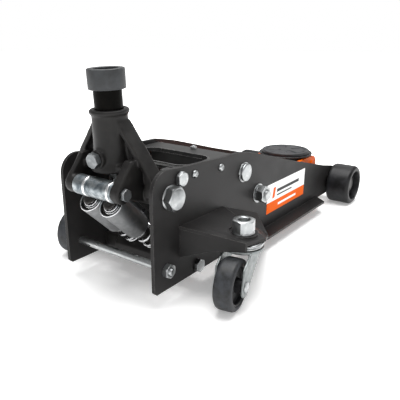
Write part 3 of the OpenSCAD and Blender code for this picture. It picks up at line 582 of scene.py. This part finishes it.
def handle_bolts():
    """Flanged bolts that the yoke swings on; the left one has a washer and a nut on its stud."""
    shank, washer_top, stud_top = 8.0, 13.4, 28.0
    s = Shape()
    for _, side in SIDES:
        m = out_y(*PIVOT, side, HALF_W)
        s.hex_head(28, 12, m @ FLAT_ON_TOP, dish=0.9, flange=15.6)
        s.rod(shank, -28, 0.8, m)
    m = out_y(*PIVOT, 1, HALF_W)
    s.ring(shank, 13, 12, washer_top, m)
    s.hex_nut(27, 7.4, shank, raised(m, washer_top + 0.1))
    s.thread(shank, 12.2, stud_top, 1.5, m)
    s.make("handle_bolt_set", "frame", "handle_bolts", [ZINC], "zinc")


def cover_screws():
    s = Shape()
    for _, side in SIDES:
        for x, z in COVER_SCREWS:
            m = out_y(x, z, side, HALF_W)
            s.loft([(0, -0.2), (5.3, -0.2), (5.4, 0.3), (5.1, 1.4), (4.3, 2.4), (3.1, 3.0), (2.2, 3.2),
                    (1.9, 2.2), (0, 1.7)], m)
            s.rod(3, -9, 0.3, m)
    m = frame_matrix(at(COVER_BOLT_X, 0, COVER_Z), Vector((0, 0, 1)))
    s.hex_head(9.0, 4.0, m, dish=0.1)
    s.thread(2.2, 3.8, 6.0, 0.8, m)
    s.make("cover_screw_set", "frame", "cover_screws", [ZINC], "zinc")


def tie_rod():
    thread = 5.0
    nuts = Shape()
    for _, side in SIDES:
        nuts.hex_nut(M10_FLATS, 8, thread, out_y(*TIE_ROD, side, HALF_W))
    nuts.make("tie_rod_nut_set", "frame", "tie_rod_nuts", [ZINC], "zinc")
    rod = Shape()
    rod.rod(5.3, -INNER_W, INNER_W, out_y(*TIE_ROD, 1, 0))
    for _, side in SIDES:
        rod.thread(thread, INNER_W - 1, HALF_W + 11, 1.5, out_y(*TIE_ROD, side, 0))
    rod.make("rear_tie_rod", "frame", "tie_rod", [ZINC], "zinc")


def arm_shaft_caps():
    s = Shape()
    for _, side in SIDES:
        m = out_y(*ARM_PIVOT, side, HALF_W)
        s.ring(12, 15, 0, 1, m)
        s.loft([(0, 1), (13.2, 1), (13.5, 1.5), (13.5, 4.4), (13.0, 5.3), (12.0, 5.9), (10.5, 6.0),
                (0, 5.7)], m)
    s.make("arm_shaft_cap_set", "frame", "arm_shaft_collars", [ZINC], "zinc")


def cross_shaft():
    radius, washer = 8.0, 1.5
    nuts = Shape()
    for _, side in SIDES:
        m = out_y(*CROSS_SHAFT, side, HALF_W)
        nuts.ring(radius, 15.5, 0, washer, m)
        nuts.hex_nut(24.5, 13.5, radius, raised(m, washer))
    nuts.make("cross_shaft_nut_set", "frame", "cross_shaft_nuts", [ZINC], "zinc")
    rod = Shape()
    rod.rod(radius, -HALF_W + 2, HALF_W - 2, out_y(*CROSS_SHAFT, 1, 0))
    for _, side in SIDES:
        rod.thread(radius, HALF_W - 3, HALF_W + 19, 2.0, out_y(*CROSS_SHAFT, side, 0))
    rod.make("cross_shaft_rod", "frame", "cross_shaft", [ZINC], "zinc")


def caster_mounts():
    """Flange nut over each bracket, the stem with its button head, and the stamped ball race."""
    nuts, stems, races = Shape(), Shape(), Shape()
    foot = box_at("caster_stems")[0].z
    shank, bore, nut_turn = 7, 7.1, math.radians(18)
    profile = [(bore, -8), (25.0, -8), (26.2, -7.4), (26.5, -6.4), (26.0, -5.2), (25.0, -4.5), (26.6, -4.2),
               (27.8, -3.6), (28.3, -2.6), (27.9, -1.4), (26.6, -0.6), (24, 0), (bore, 0)]
    for _, side in SIDES:
        up = frame_matrix(at(STEM[0], side * STEM[1], 0), Vector((0, 0, 1)), nut_turn)
        nuts.hex_nut(27, 17.8, 7.3, raised(up, SHELF_TOP), flange=14.6)
        stems.rod(shank, foot + 3, SHELF_TOP, up)
        stems.thread(shank, SHELF_TOP, SHELF_TOP + 12.5, 2.0, up)
        stems.loft([(0, foot), (8.5, foot), (9.8, foot + 1.5), (10, foot + 3.5), (0, foot + 4)], up)
        races.loft([(r, RACE_TOP + h) for r, h in profile], up, loop=True)
    nuts.make("caster_nut_set", "frame", "caster_nuts", [ZINC], "zinc")
    stems.make("caster_stem_set", "frame", "caster_stems", [ZINC], "zinc")
    races.make("caster_race_set", "frame", "caster_races", [ZINC], "zinc")


def label(side_name, side):
    """Plain two-colour panel with bars where the lettering would be."""
    low, high = box_at("side_labels")
    x0, x1, z0, z1 = low.x, high.x, low.z, high.z
    white, orange, ink = 0, 1, 2
    sheet, printed, over = 0.20, 0.26, 0.34
    panels = (
        (x0, x1, z0, z1, sheet, white, 0.0), (x0, x1, z0, z0 + 18.5, printed, orange, 0.0),
        (x0 + 34, x1 - 24, z0 + 31.0, z0 + 36.5, printed, ink, 0.0),
        (x0 + 34, x1 - 52, z0 + 24.5, z0 + 27.0, printed, ink, 0.0),
        (x0 + 40, x1 - 34, z0 + 7.0, z0 + 11.0, over, white, 0.0),
        (x0 + 18, x0 + 26, z0 + 23.5, z0 + 41.5, printed, orange, 4.0))
    block = ((0, 1, 2, 3), (4, 5, 6, 7), (0, 1, 5, 4), (1, 2, 6, 5), (2, 3, 7, 6), (3, 0, 4, 7))
    verts, faces, marks = [], [], []
    for a, b, c, d, lift, mark, lean in panels:
        first = len(verts)
        for y in (side * (HALF_W + 0.02), side * (HALF_W + lift)):
            verts += [at(a, y, c), at(b, y, c), at(b + lean, y, d), at(a + lean, y, d)]
        faces += [tuple(first + i for i in face) for face in block]
        marks += [mark] * len(block)
    ob = new_object("side_label_" + side_name, verts, faces, (PAPER, BAND, INK), marks)
    settle(ob, "frame", "side_labels" if side < 0 else None, 30)


# ---- Yoke, roller, handle ----

def lever_pin():
    right, left = LUG_OUT
    s = Shape()
    s.rod(6, -right - 0.5, left + 0.5, out_y(*ROLLER, 1, 0))
    s.hex_head(14, PIN_HEAD, out_y(*ROLLER, -1, right), dish=0.3)
    s.hex_head(14, PIN_HEAD, out_y(*ROLLER, 1, left), dish=0.3)
    s.make("lever_pin_bolt", "yoke", "lever_pin", [DULL_ZINC], "zinc")


def socket_bolt():
    foot = at(SOCKET_X, 0, PIVOT[1]) + HANDLE_UP * SOCKET_BOLT_UP * MM
    rearward = Vector((-HANDLE_UP.z, 0, HANDLE_UP.x))
    back = frame_matrix(foot, rearward, math.radians(17))
    seat = 29
    s = Shape()
    s.hex_head(17.5, 8, raised(back, seat), dish=0.6)
    s.thread(5.0, 17, seat + 0.5, 1.5, back)
    s.make("socket_set_bolt", "yoke", "socket_bolt", [DULL_ZINC], "zinc")


def roller():
    """Sleeve with two raised bands that are worn bright."""
    low, high = ROLLER_Y
    mid = (low + high) / 2
    bore, r = 6.1, ROLLER_R
    band = r + 0.6
    rings = [(bore, low), (r - 1.2, low), (r - 0.2, low + 0.8), (r, low + 2)]
    for a, b in ((mid - 30.0, mid - 26.4), (mid + 10.8, mid + 14.6)):
        rings += [(r, a), (r + 0.35, a + 0.3), (band, a + 1.2), (band, b - 1.2), (r + 0.35, b - 0.3), (r, b)]
    rings += [(r, high - 2), (r - 0.2, high - 0.8), (r - 1.2, high), (bore, high)]
    along = out_y(*ROLLER, 1, 0)
    s = Shape()
    for first, second in zip(rings, rings[1:]):
        s.loft([first, second], along, mark=1 if max(first[0], second[0]) > r + 0.1 else 0)
    s.loft([rings[-1], rings[0]], along)
    s.make("lever_roller_sleeve", "roller", "lever_roller", [ROLLER_STEEL, BRIGHT], "zinc")


def handle_sleeve():
    """Coupling sleeve with an open, rounded mouth."""
    up = frame_matrix(at(SOCKET_X, 0, PIVOT[1]), HANDLE_UP)
    low = SLEEVE_LOW - PIVOT[1]
    high = SLEEVE_TOP - PIVOT[1]
    s = Shape()
    s.loft([(17.55, low + 1.0), (18.2, low), (22.0, low), (22.9, low + 0.5), (23, low + 1.4),
            (23, high - 1.2), (22.7, high - 0.4), (21.9, high), (15.8, high), (15.1, high - 0.7),
            (15.1, low + 12)], up, loop=True)
    s.make("handle_coupling", "handle", "handle_sleeve", [SLEEVE], "rubber")


# ---- Pumps ----

def pump_cup(side_name, down):
    """Cup open at both ends, with bright rims and a floor that the plunger passes through."""
    end = CUP_LEN
    s = Shape()
    s.loft([(CUP_IN, 6.0), (CUP_IN, 1.2), (15.8, 0.3), (16.4, 0.0), (17.0, 0.1), (17.4, 0.6)], down, mark=1)
    s.loft([(17.4, 0.6), (CUP_OUT, 1.4), (CUP_OUT, 30), (CUP_OUT, end - 2.2), (17.2, end - 1.2)], down)
    s.loft([(17.2, end - 1.2), (16.6, end), (15.7, end), (CUP_IN, end - 0.8)], down, mark=1)
    s.loft([(CUP_IN, end - 0.8), (CUP_IN, 10), (6.2, 10), (6.2, 6), (CUP_IN, 6)], down)
    s.make("pump_cup_shell_" + side_name, "pump_" + side_name, "pump_cup_" + side_name, [CUP, BRIGHT],
           "cup_steel")


def pump_plunger(side_name, down):
    """Turned button over a collar, bright on the corners, with the rod below."""
    tip = -TIP_UP
    s = Shape()
    s.ring(12.2, 15.0, 3.0, 5.9, down)
    s.loft([(0, tip), (7.0, tip), (8.2, tip + 0.6), (8.8, tip + 1.5), (9, tip + 2.2)], down)
    s.loft([(9, tip + 2.2), (9, tip + 3.0), (8.2, tip + 3.2)], down, mark=1)
    s.loft([(8.2, tip + 3.2), (6.6, tip + 3.3), (6.6, -0.4), (9.6, -0.4)], down)
    s.loft([(9.6, -0.4), (10.4, -0.1), (10.6, 0.6)], down, mark=1)
    s.loft([(10.6, 0.6), (9.8, 1.0), (9.8, 1.6), (11.6, 1.6)], down)
    s.loft([(11.6, 1.6), (12.2, 2.0), (12.2, 3.0)], down, mark=1)
    s.loft([(12.2, 3.0), (11.4, 4.4), (9.5, 5.2), (6, 5.4), (6, 48), (0, 48)], down)
    s.make("pump_plunger_rod_" + side_name, "pump_" + side_name, "pump_plunger_" + side_name,
           [DARK_STEEL, BRIGHT], "ground_steel")


def coil_rise(turns, per_turn):
    """Height reached at each step, in no unit; the first and last turn lie nearly flat."""
    closed_rise = 0.28
    lift = [0.0]
    for i in range(int(turns * per_turn)):
        turned = i / per_turn
        lift.append(lift[-1] + (closed_rise if min(turned, turns - turned) < 1 else 1.0))
    return lift


def spring(side_name, down):
    """Round-wire coil with closed ends, set down the pump's axis."""
    turns, per_turn, wire_steps = 7.5, 40, 10
    wire, coil = 1.75, 12.4
    count = int(turns * per_turn)
    lift = coil_rise(turns, per_turn)
    run = SPRING_TO - SPRING_FROM - 2 * wire
    verts, faces = [], []
    for i in range(count + 1):
        z = SPRING_FROM + wire + run * lift[i] / lift[-1]
        for k in range(wire_steps):
            b = 2 * math.pi * k / wire_steps
            angle = 2 * math.pi * i / per_turn
            verts.append(around(down, coil + wire * math.cos(b), angle, z + wire * math.sin(b)))
    for i in range(count):
        near, far = i * wire_steps, (i + 1) * wire_steps
        for k in range(wire_steps):
            n = (k + 1) % wire_steps
            faces.append((near + k, near + n, far + n, far + k))
    faces.append(tuple(range(wire_steps)))
    faces.append(tuple(count * wire_steps + k for k in range(wire_steps)))
    ob = new_object("pump_spring_coil_" + side_name, verts, faces, [BRIGHT])
    settle(ob, "frame", "pump_spring_" + side_name, 50)
    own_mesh(ob)


def pump(side_name, side):
    down = frame_matrix(at(PUMP_RIM[0], side * PUMP_Y, PUMP_RIM[1]), PUMP_DOWN)
    pump_cup(side_name, down)
    pump_plunger(side_name, down)
    spring(side_name, down)


# ---- Casters and front wheels ----

def caster_rivet(side_name, hub):
    out = FORK_OUT
    s = Shape()
    for flip in (0, math.pi):
        m = hub @ Matrix.Rotation(flip, 4, "X")
        s.loft([(0, out), (6.6, out), (6.9, out + 0.5), (6.4, out + 1.5), (4.8, out + 2.4), (2.4, out + 2.9),
                (0, out + 3.0)], m)
    s.rod(4.5, -out - 0.5, out + 0.5, hub)
    s.make("caster_rivet_" + side_name, "caster_" + side_name, "caster_axle_" + side_name, [ZINC], "zinc")


def caster_wheel(side_name, hub):
    """Rounded rubber tread over a nylon core with a dished web."""
    body = "caster_wheel_" + side_name
    h, r = CASTER_W / 2, CASTER_R
    s = Shape()
    s.loft([(r - 7, -h + 0.6), (r - 6, -h), (r - 4.4, -h), (r - 2.6, -h + 0.6), (r - 1.0, -h + 2.0),
            (r - 0.2, -h + 4.2), (r, -h + 7), (r, h - 7), (r - 0.2, h - 4.2), (r - 1.0, h - 2.0),
            (r - 2.6, h - 0.6), (r - 4.4, h), (r - 6, h), (r - 7, h - 0.6)], hub, loop=True)
    s.make("caster_tread_" + side_name, body, "caster_tyre_" + side_name, [TYRE], "tyre_rubber")

    boss = FORK_IN - 0.7
    s = Shape()
    s.loft([(4.6, -boss), (7.6, -boss), (9, -FORK_IN + 1.6), (9.6, -7), (12, -5), (r - 12, -4.4),
            (r - 10.6, -6), (r - 10, -h + 1.8), (r - 9, -h + 1), (r - 7.1, -h + 1.2), (r - 7.1, h - 1.2),
            (r - 9, h - 1), (r - 10, h - 1.8), (r - 10.6, 6), (r - 12, 4.4), (12, 5), (9.6, 7),
            (9, FORK_IN - 1.6), (7.6, boss), (4.6, boss)], hub, loop=True)
    s.make("caster_core_" + side_name, body, "caster_hub_" + side_name, [NYLON], "nylon_black")


def caster(side_name, side):
    fork = "caster_fork_pressing_" + side_name
    softened("caster_fork_" + side_name, fork, "caster_" + side_name, FORK, voxel=0.75, passes=5)
    turn = Matrix.Translation(at(STEM[0], side * STEM[1], 0)) @ Matrix.Rotation(CASTER_TURN, 4, "Z")
    centre = turn @ Matrix.Translation((-TRAIL * MM, 0, CASTER_R * MM))
    hub = centre @ Matrix.Rotation(math.radians(90), 4, "X")
    caster_rivet(side_name, hub)
    caster_wheel(side_name, hub)


def front_wheel(side_name, side):
    r, a, b = FRONT[1], FRONT_IN, FRONT_OUT
    bore = 9.1
    s = Shape()
    s.loft([(bore, a + 2), (12, a + 0.2), (r - 7, a), (r - 3.4, a + 0.2), (r - 1.4, a + 1.2),
            (r - 0.3, a + 3.2), (r, a + 6), (r, b - 7), (r - 0.25, b - 4.6), (r - 1.3, b - 2.6),
            (r - 2.8, b - 1.0), (r - 4.6, b - 0.2), (r - 6.5, b), (r - 8.6, b), (r - 9.8, b - 0.6),
            (r - 10.4, b - 2), (r - 11.4, b - 12.4), (r - 12.8, b - 13.6), (r - 14.5, b - 14),
            (17.5, b - 14), (16.6, b - 13.2), (16.2, b - 10.5), (15.2, b - 9.8), (11.2, b - 9.8),
            (10.2, b - 10.4), (bore, b - 12)],
           out_y(*FRONT, side, 0), loop=True)
    s.make("front_roller_" + side_name, "front_wheel_" + side_name, "front_wheel_" + side_name, [NYLON],
           "nylon_black", 38)


# ---- Saddle ----

def ease(x):
    x = max(0.0, min(1.0, x))
    return x * x * (3 - 2 * x)


def saddle_cup(up):
    foot, rim = NOSE_Z, RIM_Z
    s = Shape()
    s.loft([(0, foot - 22), (7.4, foot - 22), (8, foot - 21.4), (8, foot + 7.8), (10, foot + 7.8),
            (10, foot + 14.2), (29, foot + 14.7), (31.5, foot + 15.6), (45.2, rim - 0.6), (50.5, rim),
            (52.6, rim + 0.2), (RIM_R, rim + 0.9), (RIM_R, rim + 2.2), (52.7, rim + 2.9), (51.4, rim + 3.0),
            (49.6, rim + 2.4), (0, rim + 2.4)], up)
    s.make("saddle_dish", "saddle", "saddle_cup", [BLACK_IRON], "cast_black")


def pad_height(radius, angle):
    """Top of the pad: a rim, a boss and four widening arms stand proud of the rest."""
    drop, groove_r = 1.9, 38.6
    off_arm = abs((math.degrees(angle) + 45) % 90 - 45)
    half_arm = 16 + 9 * ease(radius / 40)
    cross = 1 - ease((off_arm - half_arm) / 4.5)
    rim = ease((radius - 40.0) / 1.5)
    boss = 1 - ease((radius - 12) / 1.5)
    groove = ease((abs(radius - groove_r) - 0.6) / 0.9)
    return SADDLE_TOP - drop * (1 - max(rim, boss, cross * groove))


def saddle_pad(up):
    rows, steps = 44, 192
    angles = [2 * math.pi * k / steps for k in range(steps)]
    face_radii = [0.5 + (PAD_R - 2.3) * (i / (rows - 1)) for i in range(rows)]
    edge = [(PAD_R - 0.9, SADDLE_TOP - 0.3), (PAD_R - 0.25, SADDLE_TOP - 0.9), (PAD_R, SADDLE_TOP - 1.8),
            (PAD_R, RIM_Z + 3.0), (PAD_R - 1.0, RIM_Z + 2.6), (PAD_R - 6.0, RIM_Z + 2.5)]
    rings = [[(r, pad_height(r, a)) for a in angles] for r in face_radii]
    rings += [[point] * steps for point in edge]
    verts = [around(up, 0, 0, SADDLE_TOP)]
    for ring in rings:
        verts += [around(up, r, a, z) for a, (r, z) in zip(angles, ring)]
    faces = [(0, 1 + k, 1 + (k + 1) % steps) for k in range(steps)]
    last = 1 + (len(rings) - 1) * steps
    for near in range(1, last, steps):
        far = near + steps
        for k in range(steps):
            n = (k + 1) % steps
            faces.append((near + k, far + k, far + n, near + n))
    faces.append(tuple(last + k for k in range(steps)))
    settle(new_object("saddle_pad_rubber", verts, faces, [PAD]), "saddle", "saddle_pad", 60)


# ---- CAD nodes that keep their shape ----

KEPT = {
    "side_plate_right": POWDER, "side_plate_left": POWDER, "caster_bracket_right": POWDER,
    "caster_bracket_left": POWDER, "top_cover": COVER, "handle_spacers": ZINC, "pump_barrels": DARK_STEEL,
    "ram_cylinder": CASTING, "filler_plug": NYLON, "arm_shaft": ZINC, "front_axle": DARK_STEEL,
    "front_spreader": CASTING, "axle_rings": DARK_STEEL, "link_anchors": CASTING, "handle_tube": TUBE,
    "release_driver": ZINC, "release_spindle": ZINC, "lift_arm": ORANGE, "arm_lever_pin": ZINC,
    "ram_rod": BRIGHT, "saddle_pin": ORANGE, "link_pin": ZINC, "link_rods": ZINC,
}


def dress_kept():
    for name, material in KEPT.items():
        data = frame["nodes"][name].data
        data.materials.clear()
        data.materials.append(material)


camera()
studio()
floor()
frame_bolts()
handle_bolts()
cover_screws()
tie_rod()
arm_shaft_caps()
cross_shaft()
caster_mounts()
for hand in SIDES:
    label(*hand)
softened("handle_yoke", "handle_yoke_casting", "yoke", CASTING, voxel=1.15, passes=9)
lever_pin()
socket_bolt()
roller()
handle_sleeve()
for hand in SIDES:
    pump(*hand)
for hand in SIDES:
    caster(*hand)
    front_wheel(*hand)
saddle_axis = frame_matrix(at(SADDLE_X, 0, 0), Vector((0, 0, 1)))
saddle_cup(saddle_axis)
saddle_pad(saddle_axis)
softened("pump_block", "pump_block_casting", "frame", CASTING, voxel=1.6, passes=6)
softened("saddle_holder", "saddle_holder_casting", "holder", CASTING, voxel=1.1, passes=6)
dress_kept()
